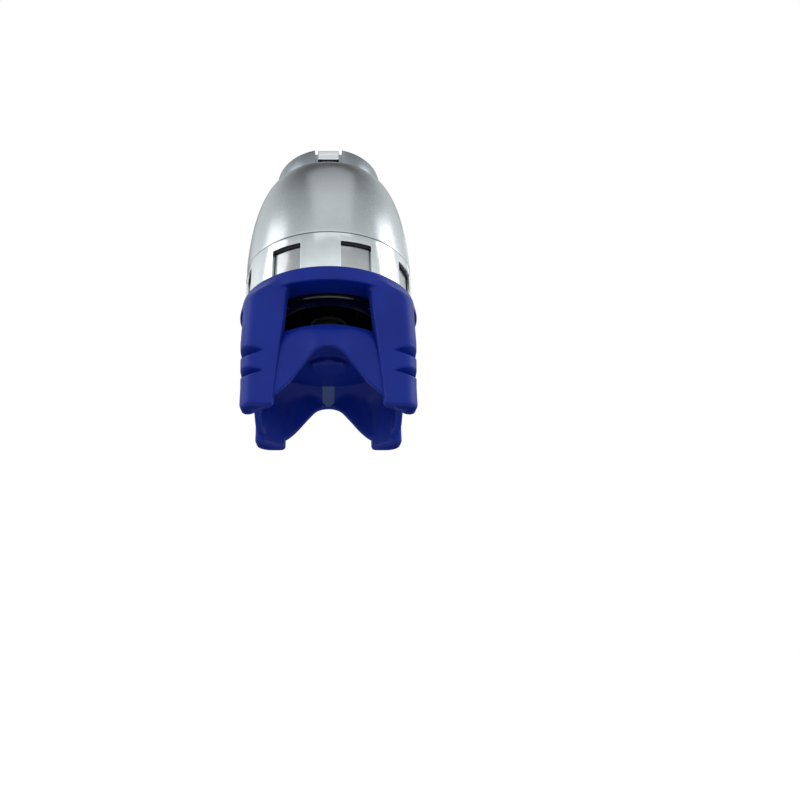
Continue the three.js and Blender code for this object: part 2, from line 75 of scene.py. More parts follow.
def corners_of(node):
    """Both corners of a CAD node's box, in millimetres."""
    return [tuple(value / MM for value in corner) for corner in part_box(node)]


# ------------------------------------------------------------ places taken from the frame (mm)
COLLAR_R = high("coupling_collar", 0)
COLLAR_BOTTOM = low("coupling_collar", 2)
DOME_TOP = high("dome_housing", 2)
DOME_BOTTOM = low("dome_housing", 2)
SKIRT_R = high("skirt_crown", 0)
SKIRT_TOP = high("skirt_crown", 2)
SKIRT_BOTTOM = low("skirt_crown", 2)
INNER_SKIRT_R = high("window_seal", 0)
SEAL_TOP = high("window_seal", 2)
WINDOW_TOP = SEAL_TOP + 0.1
STEM_TOP = low("spindle_nut", 2) - 0.3
RING_TOP = high("tool_ring", 2)
RING_BOTTOM = low("tool_ring", 2)
RING_R = high("tool_ring", 0)
NOSE_R = high("nose_cup", 0)
NOSE_BOTTOM = low("nose_cup", 2)
NOSE_TOP = high("nose_cup", 2)
TIP = low("finger_front_right", 2)
HUB_BOTTOM = low("hub", 2)
HUB_TOP = high("hub", 2)
ROOF_R = high("hub", 0)

# ------------------------------------------------------------ shape facts shared with the frame (mm)
GAP = 0.3
NOTCH_HALF = 8.0
COLLAR_SCREW_HOLES = ((2.3, -13), (4.2, -4.4))
CONTACT_COUNT = 4
DOME_TOP_R = 34.3
DOME_POWERS = (1.92, 1 / 1.66)
DOME_WALL = 3
DOME_BORE = 13
WELL_R = 28.0
WELL_WALL = 3.2
NOSE_LEDGE = -94.8
INNER_SKIRT_BORE = 45.2
SEAL_BORE = 46.3
WINDOW_COUNT = 8
WINDOW_ANGLE = 20.0
WINDOW_START = -72.5
LUG_ANGLE = 17.0
COLLAR_SCREW_CIRCLE = 24.0
NOSE_SCREW_CIRCLE = 33.7
STEM_R = 8
STEM_BORE = 4.8
BOSS_R = 10.7
CREASE_TOP = 21.0
CREASE_BOTTOM = 26.6
TOE_TOP = -160.0
ARCH_TOP = -136.9
FINGER_CORNER = 9.0
GROOVE_LEVELS = (-137.3, -148)
GROOVE_FLOOR = 54.5
ROOF_TOP = -120.5
ROOF_BOTTOM = -125.0
ROOF_EDGE_R = 38.6
RECESS_R = 48.6
RING_BORE = 37.3
CUT_REACH = 62  # distance from the axis that is outside every piece
WEB_WALL = 4.2

# ------------------------------------------------------------ mesh detail
SMOOTH_ANGLE = math.radians(32)
BEVEL_ANGLE = math.radians(40)
ROUND = 192
SMALL_ROUND = 96
HOLE_ROUND = 48


# ============================================================ materials
def new_material(name, base, roughness, metallic=0.0):
    """A Principled material and its node tree's parts."""
    material = bpy.data.materials.new(name)
    material.use_nodes = True
    shader = material.node_tree.nodes["Principled BSDF"]
    shader.inputs["Base Color"].default_value = (*base, 1)
    shader.inputs["Roughness"].default_value = roughness
    shader.inputs["Metallic"].default_value = metallic
    return material, shader


def noise(material, scale, detail=4.0, stretch=(1, 1, 1)):
    """A noise texture in object space, with features 1/scale metres across. Returns its value socket."""
    nodes, links = material.node_tree.nodes, material.node_tree.links
    place = nodes.new("ShaderNodeTexCoord")
    mapping = nodes.new("ShaderNodeMapping")
    mapping.inputs["Scale"].default_value = stretch
    texture = nodes.new("ShaderNodeTexNoise")
    texture.inputs["Scale"].default_value = scale
    texture.inputs["Detail"].default_value = detail
    links.new(place.outputs["Object"], mapping.inputs["Vector"])
    links.new(mapping.outputs["Vector"], texture.inputs["Vector"])
    return texture.outputs["Fac"]


def ranged(material, value, low_out, high_out):
    """Maps a 0..1 value onto a range of numbers."""
    node = material.node_tree.nodes.new("ShaderNodeMapRange")
    node.inputs["From Min"].default_value = 0.3
    node.inputs["From Max"].default_value = 0.7
    node.inputs["To Min"].default_value = low_out
    node.inputs["To Max"].default_value = high_out
    material.node_tree.links.new(value, node.inputs["Value"])
    return node.outputs["Result"]


def tinted(material, value, dark, light):
    """Maps a 0..1 value onto a run of colour."""
    ramp = material.node_tree.nodes.new("ShaderNodeValToRGB")
    ramp.color_ramp.elements[0].position = 0.3
    ramp.color_ramp.elements[0].color = (*dark, 1)
    ramp.color_ramp.elements[1].position = 0.7
    ramp.color_ramp.elements[1].color = (*light, 1)
    material.node_tree.links.new(value, ramp.inputs["Fac"])
    return ramp.outputs["Color"]


def bumped(material, shader, value, height, strength=1.0):
    """Raises the surface by a value, height metres from its lowest to its highest."""
    bump = material.node_tree.nodes.new("ShaderNodeBump")
    bump.inputs["Distance"].default_value = height
    bump.inputs["Strength"].default_value = strength
    material.node_tree.links.new(value, bump.inputs["Height"])
    material.node_tree.links.new(bump.outputs["Normal"], shader.inputs["Normal"])


def varied(name, dark, light, rough, metallic=0.0, grain=(900, 0.00002), cloud=60, stretch=(1, 1, 1)):
    """A material whose colour and roughness drift, and which has a fine grain (scale, height in metres)."""
    material, shader = new_material(name, light, rough[0], metallic)
    links = material.node_tree.links
    drift = noise(material, cloud, 3.0)
    links.new(tinted(material, drift, dark, light), shader.inputs["Base Color"])
    links.new(ranged(material, noise(material, cloud * 3.3, 5.0), *rough), shader.inputs["Roughness"])
    bumped(material, shader, noise(material, grain[0], 4.0, stretch), grain[1])
    return material, shader


def soft_rubber(shader):
    """Gives a silicone its low gloss, its bloom at grazing angles and a little depth."""
    shader.inputs["Specular IOR Level"].default_value = 0.23
    shader.inputs["Sheen Weight"].default_value = 0.06
    shader.inputs["Sheen Roughness"].default_value = 0.35
    shader.inputs["Sheen Tint"].default_value = (0.35, 0.42, 1.0, 1)
    shader.inputs["Subsurface Weight"].default_value = 0.05
    shader.inputs["Subsurface Radius"].default_value = (0.0006, 0.0009, 0.0030)
    shader.inputs["Subsurface Scale"].default_value = 1.0


def make_materials():
    """Every finish, by the record's slot name, and darker or paler copies that paint shade or sheen."""
    made = {}
    made["cast_aluminium"], _ = varied(
        "satin_aluminium", (0.52, 0.55, 0.565), (0.56, 0.59, 0.605), (0.23, 0.29), 1.0,
        grain=(2600, 0.0000015), cloud=45)
    # The collar's aluminium: its turned grain is real, its darker colour is painted shade.
    made["collar_aluminium"], _ = varied(
        "turned_aluminium_painted_shade", (0.27, 0.30, 0.325), (0.32, 0.35, 0.375), (0.22, 0.30), 1.0,
        grain=(900, 0.000002), cloud=60, stretch=(1, 1, 10))
    made["polished_metal"], _ = varied(
        "polished_metal", (0.66, 0.69, 0.70), (0.73, 0.76, 0.77), (0.11, 0.17), 1.0,
        grain=(500, 0.000002), cloud=80, stretch=(1, 1, 8))
    # The liner's metal behind the windows: its brushed grain is real, its darker colour is painted shade.
    made["liner_metal"], _ = varied(
        "brushed_liner_painted_shade", (0.40, 0.41, 0.42), (0.50, 0.51, 0.52), (0.14, 0.22), 1.0,
        grain=(700, 0.000004), cloud=80, stretch=(1, 1, 8))
    made["steel"], _ = varied(
        "machined_steel", (0.42, 0.43, 0.44), (0.52, 0.53, 0.54), (0.26, 0.38), 1.0,
        grain=(600, 0.000008), cloud=120, stretch=(1, 1, 12))
    made["bronze"], _ = varied(
        "bearing_bronze", (0.50, 0.33, 0.13), (0.60, 0.42, 0.18), (0.28, 0.42), 1.0,
        grain=(700, 0.000008), cloud=120, stretch=(1, 1, 12))
    made["gold_contact"], _ = varied(
        "gold_plate", (0.75, 0.52, 0.18), (0.83, 0.62, 0.26), (0.16, 0.24), 1.0,
        grain=(1500, 0.000003), cloud=300)
    made["gloss_black"], shader = varied(
        "gloss_black", (0.004, 0.004, 0.005), (0.008, 0.008, 0.010), (0.06, 0.12),
        grain=(900, 0.000002), cloud=90)
    shader.inputs["Coat Weight"].default_value = 0.4
    shader.inputs["Coat Roughness"].default_value = 0.05
    made["black_plastic"], _ = varied(
        "matte_black_plastic", (0.010, 0.010, 0.011), (0.018, 0.018, 0.020), (0.42, 0.55),
        grain=(3200, 0.00003), cloud=90)
    made["black_rubber"], _ = varied(
        "black_rubber", (0.006, 0.006, 0.006), (0.013, 0.013, 0.014), (0.60, 0.78),
        grain=(2200, 0.00003), cloud=120)
    made["circuit_board"], _ = varied(
        "circuit_board", (0.004, 0.075, 0.030), (0.010, 0.120, 0.050), (0.30, 0.42),
        grain=(1400, 0.00002), cloud=220)
    made["blue_silicone"], shader = varied(
        "blue_silicone", (0.0004, 0.0145, 0.225), (0.0010, 0.0180, 0.265), (0.36, 0.46),
        grain=(2400, 0.000014), cloud=55)
    soft_rubber(shader)
    # A paler copy of the blue silicone for the webs' inner strips: painted sheen.
    made["silicone_painted_sheen"], shader = varied(
        "silicone_painted_sheen", (0.065, 0.105, 0.270), (0.080, 0.125, 0.310), (0.50, 0.60),
        grain=(2400, 0.00002), cloud=90)
    soft_rubber(shader)
    return made


MATERIALS = make_materials()


# ============================================================ mesh helpers
def finished(name, mesh, slot, body, *nodes):
    """Links a mesh given in millimetres as a piece that rides on a body and stands for CAD nodes."""
    mesh.transform(Matrix.Scale(MM, 4))
    mesh.materials.clear()
    mesh.materials.append(MATERIALS[slot])
    mesh.shade_smooth()
    mesh.set_sharp_from_angle(angle=SMOOTH_ANGLE)
    piece = bpy.data.objects.new(name, mesh)
    bpy.context.collection.objects.link(piece)
    if body:
        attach(piece, body)
    if nodes:
        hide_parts(*nodes)
    return piece


def mesh_of(name, points, faces):
    """A mesh from plain lists of points and faces."""
    mesh = bpy.data.meshes.new(name)
    mesh.from_pydata([tuple(p) for p in points], [], [tuple(f) for f in faces])
    mesh.validate()
    return mesh


def rounded(outline, steps=4):
    """A closed outline of (r, z, fillet) corners as points, with each fillet an arc of that radius."""
    points = []
    count = len(outline)
    for i, corner in enumerate(outline):
        here = Vector(corner[:2])
        before = Vector(outline[i - 1][:2]) - here
        after = Vector(outline[(i + 1) % count][:2]) - here
        radius = corner[2] if len(corner) > 2 else 0
        turn = before.angle(after) if before.length and after.length else math.pi
        if radius <= 0 or turn > math.pi - 0.01:
            points.append(tuple(here))
            continue
        setback = min(radius / math.tan(turn / 2), 0.49 * before.length, 0.49 * after.length)
        radius = setback * math.tan(turn / 2)
        halfway = (before.normalized() + after.normalized()).normalized()
        middle = here + halfway * (radius / math.sin(turn / 2))
        first = here + before.normalized() * setback - middle
        last = here + after.normalized() * setback - middle
        sweep = first.angle_signed(last)
        for k in range(steps + 1):
            angle = -sweep * k / steps
            spun = Matrix.Rotation(angle, 2) @ first
            points.append(tuple(middle + spun))
    return points


def turned_mesh(name, outline, sides=ROUND, steps=4):
    """A mesh turned about Z from a closed outline of (r, z[, fillet]) corners."""
    points = rounded(outline, steps)
    pairs = [(points[i - 1], points[i]) for i in range(len(points))]
    area = sum(a[0] * b[1] - b[0] * a[1] for a, b in pairs)
    if area < 0:
        points.reverse()
    work = bmesh.new()
    angles = [2 * math.pi * k / sides for k in range(sides)]
    rings = []
    for r, z in points:
        if r < 1e-6:
            rings.append([work.verts.new((0, 0, z))] * sides)
            continue
        rings.append([work.verts.new((r * math.cos(a), r * math.sin(a), z)) for a in angles])
    for i, ring in enumerate(rings):
        following = rings[(i + 1) % len(rings)]
        for k in range(sides):
            corners = [ring[k], ring[(k + 1) % sides], following[(k + 1) % sides], following[k]]
            unique = list(dict.fromkeys(corners))
            if len(unique) > 2:
                work.faces.new(unique)
    bmesh.ops.remove_doubles(work, verts=work.verts, dist=1e-5)
    bmesh.ops.recalc_face_normals(work, faces=work.faces)
    mesh = bpy.data.meshes.new(name)
    work.to_mesh(mesh)
    work.free()
    return mesh


def moved_mesh(mesh, x=0.0, y=0.0, z=0.0, degrees=0.0):
    """The mesh, shifted and then turned about Z."""
    mesh.transform(Matrix.Rotation(math.radians(degrees), 4, "Z") @ Matrix.Translation((x, y, z)))
    return mesh


def box_mesh(name, lowest, highest, bevel=0.0, segments=2):
    """A box between two corners, with rounded edges."""
    work = bmesh.new()
    bmesh.ops.create_cube(work, size=1)
    for vert in work.verts:
        vert.co = [(a if c < 0 else b) for c, a, b in zip(vert.co, lowest, highest)]
    if bevel:
        bmesh.ops.bevel(
            work, geom=work.edges[:], offset=bevel, segments=segments, profile=0.5, affect="EDGES")
    bmesh.ops.recalc_face_normals(work, faces=work.faces)
    mesh = bpy.data.meshes.new(name)
    work.to_mesh(mesh)
    work.free()
    return mesh


def wedge_mesh(name, bearing, angle, bottom, top):
    """A wedge about Z with its middle at a bearing in degrees."""
    edge = [math.radians(bearing + side * angle / 2) for side in (-1, 1)]
    flat = [(0, 0)] + [(CUT_REACH * math.cos(a), CUT_REACH * math.sin(a)) for a in edge]
    points = [(x, y, z) for z in (bottom, top) for x, y in flat]
    faces = [(0, 2, 1), (3, 4, 5), (0, 1, 4, 3), (1, 2, 5, 4), (2, 0, 3, 5)]
    return mesh_of(name, points, faces)


def combined(mesh, tools, operation="DIFFERENCE"):
    """The mesh with each tool mesh cut from it, or kept in common with it."""
    host = bpy.data.objects.new("host", mesh)
    bpy.context.collection.objects.link(host)
    helpers = []
    for tool in tools:
        helper = bpy.data.objects.new("tool", tool)
        bpy.context.collection.objects.link(helper)
        helpers.append(helper)
        change = host.modifiers.new("cut", "BOOLEAN")
        change.object = helper
        change.operation = operation
        change.solver = "EXACT"
    bpy.context.view_layer.update()
    shown = host.evaluated_get(bpy.context.evaluated_depsgraph_get())
    result = bpy.data.meshes.new_from_object(shown)
    for thing in [host, *helpers]:
        bpy.data.objects.remove(thing)
    return result


def softened(piece, width, segments=2):
    """Rounds a piece's hard edges, width in millimetres."""
    bevel = piece.modifiers.new("soft_edges", "BEVEL")
    bevel.width = width * MM
    bevel.segments = segments
    bevel.limit_method = "ANGLE"
    bevel.angle_limit = BEVEL_ANGLE
    bevel.harden_normals = True
    bevel.use_clamp_overlap = True
    return piece


# ============================================================ wrist coupling
def make_collar():
    """The collar with its latch notch, and the catch that stands in the notch."""
    catch_low, catch_high = corners_of("latch_catch")
    floor_y = catch_high[1] + GAP
    body = turned_mesh("coupling_collar", [
        (0, COLLAR_BOTTOM), (COLLAR_R, COLLAR_BOTTOM, 0.5), (COLLAR_R, 0, 1.0), (0, 0)], ROUND)
    block_low, block_high = corners_of("contact_block")
    cuts = [
        box_mesh("notch", (-NOTCH_HALF, -CUT_REACH, COLLAR_BOTTOM - 1), (NOTCH_HALF, floor_y, 1)),
        box_mesh("pocket", tuple(value - GAP for value in block_low),
                 (block_high[0] + GAP, block_high[1] + GAP, 1)),
        box_mesh("slot", (-7.2, floor_y - 1, -11.6), (7.2, floor_y + 4.2, -7.2)),
        turned_mesh("bearing_pocket", [(0, -13), (11.2, -13), (11.2, -8.2), (0, -8.2)], 64),
    ]
    for turn in QUARTERS:
        for radius, bottom in COLLAR_SCREW_HOLES:
            hole = turned_mesh("hole", [(0, bottom), (radius, bottom), (radius, 1), (0, 1)], HOLE_ROUND)
            cuts.append(moved_mesh(hole, COLLAR_SCREW_CIRCLE, degrees=turn + 45))
    collar = finished("collar", combined(body, cuts), "cast_aluminium", "base", "coupling_collar")
    softened(collar, 0.35, 3)
    # The collar takes the darker aluminium: painted shade.
    collar.data.materials[0] = MATERIALS["collar_aluminium"]
    # A black block at the back of the latch slot: painted shade in the opening.
    liner = box_mesh("latch_slot_painted_shade", (-6.9, floor_y + 1.2, -11.5), (6.9, floor_y + 4, -7.3), 0.2)
    finished("latch_slot_painted_shade", liner, "black_rubber", "base")
    catch = box_mesh("catch_plate", catch_low, catch_high, 0.5, 3)
    finished("catch_plate", catch, "polished_metal", "base", "latch_catch")
    # A black pad under the catch paints the shadow on the catch's underside.
    shadow_pad_low = (catch_low[0], catch_low[1] + 0.2, catch_low[2] - 0.35)
    shadow_pad_high = (catch_high[0], catch_high[1], catch_low[2] + 0.5)
    finished("catch_painted_shadow_pad", box_mesh("catch_painted_shadow_pad", shadow_pad_low, shadow_pad_high, 0.15), "black_rubber", "base")
    # A black ring round the collar's foot paints the shadow line between the collar and the dome.
    edge = turned_mesh("collar_edge", [
        (COLLAR_R - 1, DOME_TOP + 0.05), (COLLAR_R + 0.45, DOME_TOP + 0.05, 0.2),
        (COLLAR_R + 0.1, COLLAR_BOTTOM + 1.1, 0.1), (COLLAR_R - 1, COLLAR_BOTTOM + 1.1)])
    opening = box_mesh("opening", (-NOTCH_HALF, -CUT_REACH, DOME_TOP - 1), (NOTCH_HALF, floor_y, 1))
    finished("collar_painted_shadow_ring", combined(edge, [opening]), "black_rubber", "base")


def make_collar_screws():
    """Four socket-headed screws, sunk in the collar."""
    for i, turn in enumerate(QUARTERS):
        body = turned_mesh("screw", [
            (0, -16), (2, -16, 0.3), (2, -4.1), (3.9, -4.1, 0.2), (3.9, -0.4, 0.6), (0, -0.4)], 64)
        socket = turned_mesh("socket", [(0, -2.4), (2.2, -2.4), (2.2, 1), (0, 1)], 6)
        piece = moved_mesh(combined(body, [socket]), COLLAR_SCREW_CIRCLE, degrees=turn + 45)
        softened(finished(f"collar_bolt_{i + 1}", piece, "steel", "base", f"collar_screw_{i + 1}"), 0.12)


def make_contacts():
    """The contact carrier in the wrist face, with its gold pads."""
    block_low, block_high = corners_of("contact_block")
    body = box_mesh("contact_carrier", block_low, block_high)
    holes = []
    for i in range(CONTACT_COUNT):
        pin_low, pin_high = corners_of(f"contact_pin_{i + 1}")
        x, y = (pin_low[0] + pin_high[0]) / 2, (pin_low[1] + pin_high[1]) / 2
        hole = turned_mesh("hole", [(0, -4), (1.5, -4), (1.5, 1), (0, 1)], 40)
        holes.append(moved_mesh(hole, x, y))
        pin = turned_mesh(f"contact_pad_{i + 1}", [
            (0, -3.7), (1.2, -3.7, 0.1), (1.2, -0.1, 0.5), (0.45, -0.1, 0.1), (0.35, -0.4, 0.1),
            (0, -0.4)], HOLE_ROUND)
        moved_mesh(pin, x, y)
        finished(f"contact_pad_{i + 1}", pin, "gold_contact", "base", f"contact_pin_{i + 1}")
    carrier = finished("contact_carrier", combined(body, holes), "black_plastic", "base", "contact_block")
    softened(carrier, 0.25, 3)


# ============================================================ housing
def dome_radius(level):
    """The dome's outer radius at a level, from the skirt's edge up to its shoulder."""
    rise = (level - DOME_BOTTOM) / (DOME_TOP - DOME_BOTTOM)
    bulge = max(0.0, 1 - rise ** DOME_POWERS[0]) ** DOME_POWERS[1]
    return DOME_TOP_R + (SKIRT_R - DOME_TOP_R) * bulge


def dome_wall(top, steps, thickness):
    """Points of the dome's wall up to a level, closer together towards the shoulder."""
    shares = [math.sin(math.pi / 2 * i / steps) for i in range(steps + 1)]
    levels = [DOME_BOTTOM + (top - DOME_BOTTOM) * share for share in shares]
    return [(dome_radius(level) - thickness, level) for level in levels]


def make_dome():
    """The dome, and the dark gasket line between it and the skirt."""
    ceiling = DOME_TOP - 4
    outer = dome_wall(DOME_TOP, 60, 0)
    outer[0] = (*outer[0], 0.35)
    inner = dome_wall(ceiling, 24, DOME_WALL)
    outline = [*outer, (DOME_BORE, DOME_TOP, 0.3), (DOME_BORE, ceiling), *reversed(inner)]
    finished("dome", turned_mesh("dome", outline, ROUND), "cast_aluminium", "base", "dome_housing")
    bottom, top = SKIRT_TOP - 0.1, DOME_BOTTOM + 0.1
    gasket = turned_mesh("joint_gasket", [(46.5, top), (48.8, top), (48.8, bottom), (46.5, bottom)])
    finished("joint_gasket", gasket, "black_rubber", "base")


def window_bearings():
    """The bearing of each window's middle, in degrees."""
    return [WINDOW_START + 360 * i / WINDOW_COUNT for i in range(WINDOW_COUNT)]


def make_skirt():
    """The skirt's sleeve with its windows, the liner behind them and the seal at their tops."""
    bore = INNER_SKIRT_R + GAP
    sleeve = turned_mesh("skirt", [
        (bore, SKIRT_BOTTOM), (SKIRT_R, SKIRT_BOTTOM, 0.3), (SKIRT_R, SKIRT_TOP, 0.4),
        (bore, SKIRT_TOP)], 360)
    cuts = [wedge_mesh("window", bearing, WINDOW_ANGLE, SKIRT_BOTTOM - 1, WINDOW_TOP)
            for bearing in window_bearings()]
    piece = finished("skirt_sleeve", combined(sleeve, cuts), "polished_metal", "base", "skirt_crown")
    softened(piece, 0.3, 3)
    seal_low = SEAL_TOP - 0.95
    groove_low, groove_high, groove_r = seal_low - 0.2, SEAL_TOP + 0.3, SEAL_BORE - 0.2
    liner_mesh = turned_mesh("skirt_liner", [
        (INNER_SKIRT_BORE, SKIRT_BOTTOM), (INNER_SKIRT_R, SKIRT_BOTTOM, 0.3),
        (INNER_SKIRT_R, groove_low, 0.2), (groove_r, groove_low),
        (groove_r, groove_high), (INNER_SKIRT_R, groove_high, 0.1),
        (INNER_SKIRT_R, SKIRT_TOP, 0.2), (INNER_SKIRT_BORE, SKIRT_TOP)])
    liner = finished("skirt_liner", liner_mesh, "polished_metal", "base", "inner_skirt")
    # The liner takes the darker metal: painted shade behind the windows.
    liner.data.materials[0] = MATERIALS["liner_metal"]
    seal = turned_mesh("slit_seal", [
        (SEAL_BORE, seal_low), (48.0, seal_low, 0.25), (48.0, SEAL_TOP, 0.25), (SEAL_BORE, SEAL_TOP)])
    finished("slit_seal", seal, "black_rubber", "base", "window_seal")


def make_nose():
    """The black cup in the underside, with its four screws and the spindle's wiper."""
    wall = WELL_R + WELL_WALL
    ceiling = NOSE_TOP - 3
    body = turned_mesh("nose", [
        (WELL_R, NOSE_BOTTOM, 0.9), (NOSE_R, NOSE_BOTTOM + 0.35, 1.1), (NOSE_R, NOSE_LEDGE),
        (wall, NOSE_LEDGE, 0.4), (wall, NOSE_TOP, 0.5), (12, NOSE_TOP), (12, ceiling, 0.4),
        (WELL_R, ceiling, 1.5)], ROUND)
    cuts = []
    mouth = NOSE_BOTTOM - 1
    for turn in QUARTERS:
        recess = turned_mesh("recess", [(0, mouth), (2.7, mouth), (2.7, -101), (0, -101)], HOLE_ROUND)
        cuts.append(moved_mesh(recess, NOSE_SCREW_CIRCLE, degrees=turn + 45))
    softened(finished("nose", combined(body, cuts), "gloss_black", "base", "nose_cup"), 0.15)
    for i, turn in enumerate(QUARTERS):
        screw = turned_mesh("nose_bolt", [
            (0, -103.2), (2.4, -103.2, 0.5), (2.4, -101.3, 0.2), (1.3, -101.3), (1.3, -91.7),
            (0, -91.7)], HOLE_ROUND)
        socket = turned_mesh("socket", [(0, -105), (1.3, -105), (1.3, -102.1), (0, -102.1)], 6)
        piece = moved_mesh(combined(screw, [socket]), NOSE_SCREW_CIRCLE, degrees=turn + 45)
        finished(f"nose_bolt_{i + 1}", piece, "steel", "base", f"nose_screw_{i + 1}")
    wiper = turned_mesh("wiper", [(8.2, -71.4, 0.3), (11.7, -71.4), (11.7, -69.2), (9.2, -69.2, 0.3)])
    finished("wiper", wiper, "black_rubber", "base", "wiper_seal")


# ============================================================ spindle
def make_spindle():
    """The spindle with its grooved head, and the tool's hub that clips onto it."""
    stem = turned_mesh("spindle_stem", [
        (0, -99.9), (STEM_R, -99.9, 0.4), (STEM_R, STEM_TOP, 0.4), (STEM_BORE, STEM_TOP),
        (STEM_BORE, -95.9), (0, -95.9)], SMALL_ROUND)
    finished("spindle_stem", stem, "gloss_black", "spindle", "spindle_tube")
    head = turned_mesh("clip_head", [
        (0, -107), (8, -107, 1.0), (8, -104.2, 0.4), (6.6, -103.6, 0.3), (6.6, -102.6, 0.3),
        (10.5, -101.8, 0.4), (10.5, -100.2, 0.4), (0, -100.2)], SMALL_ROUND)
    finished("clip_head", head, "black_plastic", "spindle", "spindle_head")
    insert = turned_mesh("clip_insert", [
        (0, -118), (9.1, -118, 0.4), (9.1, -107.3, 0.8), (0, -107.3)], SMALL_ROUND)
    finished("clip_insert", insert, "black_plastic", "spindle", "hub_insert")
    hub = turned_mesh("tool_hub", [
        (0, HUB_BOTTOM), (BOSS_R, HUB_BOTTOM, 2.2), (BOSS_R, ROOF_BOTTOM, 1.6),
        (ROOF_R, ROOF_BOTTOM, 0.2), (ROOF_R, ROOF_TOP, 0.2), (13, ROOF_TOP, 3), (13, HUB_TOP, 1.0),
        (9.4, HUB_TOP, 0.4), (9.4, -118.3), (0, -118.3)], ROUND, 6)
    finished("tool_hub", hub, "blue_silicone", "spindle", "hub")


# ============================================================ moulded tool: shapes as distance fields
def smooth_max(a, b, k):
    """The larger of two distances, with the edge between them rounded over about k."""
    h = np.maximum(k - np.abs(a - b), 0) / k
    return np.maximum(a, b) + h * h * k / 4


def smooth_min(a, b, k):
    """The smaller of two distances, with the corner between them filled over about k."""
    return -smooth_max(-a, -b, k)


def crease_at(z):
    """Half the width between two fingers at a level."""
    share = np.clip((RING_BOTTOM - z) / (RING_BOTTOM - TOE_TOP), 0, 1)
    return CREASE_TOP + (CREASE_BOTTOM - CREASE_TOP) * share


def piecewise(z, *knots):
    """A number that runs straight between (level, value) knots."""
    levels, values = zip(*sorted(knots))
    return np.interp(z, levels, values)


def ring_field(x, y, z):
    """The ring that grips the skirt, with its flange under the skirt's edge."""
    r = np.hypot(x, y)
    outer = r - piecewise(z, (RING_TOP, 50.3), (-95, 50.7), (-99, 51.5), (RING_BOTTOM, RING_R))
    band = smooth_max(smooth_max(outer, z - RING_TOP, 1.6), RING_BOTTOM - z, 1.2)
    band = smooth_max(band, RING_BORE - r, 1.2)
    recess = smooth_max(r - RECESS_R, SKIRT_BOTTOM - GAP - z, 0.3)
    return smooth_max(band, -recess, 0.4)


def bell_radius(z):
    """The tool's inner radius: a bell that opens out below the cup's roof."""
    fall = np.maximum(ROOF_BOTTOM - z, 0)
    return 46.9 - 8.3 * np.exp(-fall / 6.5)


def finger_field(x, y, z):
    """One upright finger with its toe, in the corner where x and y are both positive."""
    r = np.hypot(x, y)
    half = piecewise(z, (-104, 44.5), (-131, 45.0), (-155, 44.0), (TIP, 44.0))
    over_x, over_y = x - half + FINGER_CORNER, y - half + FINGER_CORNER
    beyond = np.hypot(np.maximum(over_x, 0), np.maximum(over_y, 0))
    outer = beyond + np.minimum(np.maximum(over_x, over_y), 0) - FINGER_CORNER
    neck = piecewise(z, (-116, 41), (-119, 40.5), (ROOF_BOTTOM, ROOF_EDGE_R))
    inner = np.where(z > ROOF_BOTTOM, neck, bell_radius(z)) - r
    crease = crease_at(z)
    sides = smooth_max(crease - x, crease - y, 1.5)
    plan = smooth_max(smooth_max(outer, sides, 2.2), inner, 1.6)
    pad = smooth_max(plan + 2.5, z - (TIP + 1.3), 0.6)
    body = smooth_max(smooth_max(plan, TIP - z, 3.0), -pad, 0.6)
    shoulder = (r - 51.4 + (z + 97.5)) * 0.707
    body = smooth_max(body, shoulder, 3.0)
    across = (x + y) / math.sqrt(2)
    for level in GROOVE_LEVELS:
        groove = (np.abs(z - level) - 0.47 * (across - GROOVE_FLOOR + 0.5)) / 1.10
        body = smooth_max(body, -groove, 0.7)
    return body


def quarter_field(x, y, z):
    """A quarter of the ring with its finger, x and y taken as distances from the axis planes."""
    x, y = np.abs(x), np.abs(y)
    bore = RECESS_R + 0.2 - np.hypot(x, y)
    upright = smooth_max(finger_field(x, y, z), np.where(z > SKIRT_BOTTOM - 2, bore, -9.0), 0.3)
    upright = smooth_max(upright, z - (RING_TOP - 3), 0.5)
    return smooth_min(ring_field(x, y, z), upright, 2.2)


def arch_field(x, z):
    """The inverted V between two fingers, round at its top and flared at its feet, negative inside."""
    slope = math.radians(51)
    rounding = 12.0
    across = np.abs(x)
    reach = rounding * math.sin(slope)
    round_drop = rounding - np.sqrt(np.maximum(rounding ** 2 - np.minimum(across, reach) ** 2, 0))
    flare = 0.03 * np.maximum(across - 17, 0) ** 2
    drop = round_drop + np.maximum(across - reach, 0) * math.tan(slope) - flare
    lean = np.minimum(across, reach) / rounding
    return (z - (ARCH_TOP - drop)) * np.sqrt(1 - lean ** 2)


def web_face(x):
    """Distance of a web's outer face from the axis plane: flat beside the fingers, full in the middle."""
    return 43.6 + 6.3 * np.exp(-(x / 9.5) ** 2)


def web_field(x, y, z):
    """The thin wall between two fingers, leaning in to the cup's roof. y is measured outwards."""
    r = np.hypot(x, y)
    face = web_face(x)
    outer = smooth_max(r - (50.8 - 9.6 * np.exp((z + 121.6) / 7.2)), y - face, 2.5)
    bell = np.where(z > ROOF_BOTTOM, ROOF_EDGE_R - 0.43 * (z - ROOF_BOTTOM), bell_radius(z)) - r
    inner = smooth_min(bell, face - WEB_WALL - y, 2.5)
    body = smooth_max(outer * 0.88, inner * 0.88, 1.2)
    body = smooth_max(body, z - (-119.6 - 0.0045 * x * x), 3.0)
    body = smooth_max(body, np.abs(x) - (crease_at(z) + 2.4), 0.6)
    return smooth_max(body, -arch_field(x, z), 1.3)


def strip_field(x, y, z):
    """The flat strip down the middle of a web's inner face."""
    surface = np.minimum(bell_radius(z) - np.hypot(x, y), web_face(x) - WEB_WALL - y)
    body = smooth_max(surface - 0.5, -surface - 1.2, 0.4)
    body = smooth_max(body, np.abs(x) - 4, 0.5)
    body = smooth_max(body, z - (ROOF_BOTTOM + 0.5), 0.5)
    return smooth_max(body, -arch_field(x, z - 0.6), 0.5)


